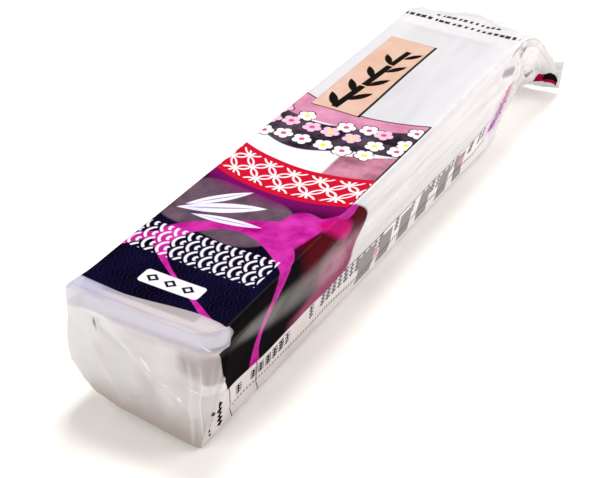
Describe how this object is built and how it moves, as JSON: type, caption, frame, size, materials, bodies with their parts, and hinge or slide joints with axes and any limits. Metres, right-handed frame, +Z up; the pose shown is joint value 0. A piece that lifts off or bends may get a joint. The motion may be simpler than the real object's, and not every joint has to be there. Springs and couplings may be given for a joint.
{
  "type": "sushi mold in film wrap",
  "caption": "Slim-roll sushi mold: a trough with a flared rim and a pointed press bar that slides in it, sealed in a printed clear film wrap with a crimped end seal.",
  "frame": {"origin": "on the resting plane, on the underside of the film's long seam, below the middle of the mold", "axes": "+X along the mold towards the standing end seal, +Y across it, +Z up, the way the press bar lifts"},
  "size_m": [0.2638, 0.054, 0.0432],
  "materials": {
    "mold_plastic": "white injection-moulded polypropylene, satin",
    "bar_plastic": "white injection-moulded polypropylene, satin, ribbed recess",
    "printed_film": "clear cast polypropylene film, glossy, printed inside",
    "clear_film": "clear cast polypropylene film, glossy, hardly printed",
    "seam_film": "clear film, heat-sealed in a flat ribbed strip",
    "near_seal_film": "clear film, crimped and folded flat",
    "crimped_film": "printed clear film, crimped in fine parallel ribs"
  },
  "bodies": {
    "mold": {"mold_base": "mold_plastic", "film_wrap": "printed_film", "film_far_end": "clear_film", "back_seam": "seam_film", "near_end_seal": "near_seal_film"},
    "press": {"press_bar": "bar_plastic"},
    "far_seal": {"far_end_seal": "crimped_film"}
  },
  "joints": [
    {"name": "press_slide", "type": "slide", "parent": "mold", "child": "press", "axis": [0, 0, 1], "range_m": [0, 0.006]},
    {"name": "far_seal_fold", "type": "hinge", "parent": "mold", "child": "far_seal", "pos_m": [0.1564, 0, 0.0013], "axis": [0, 1, 0], "range_deg": [-18, 72]}
  ]
}
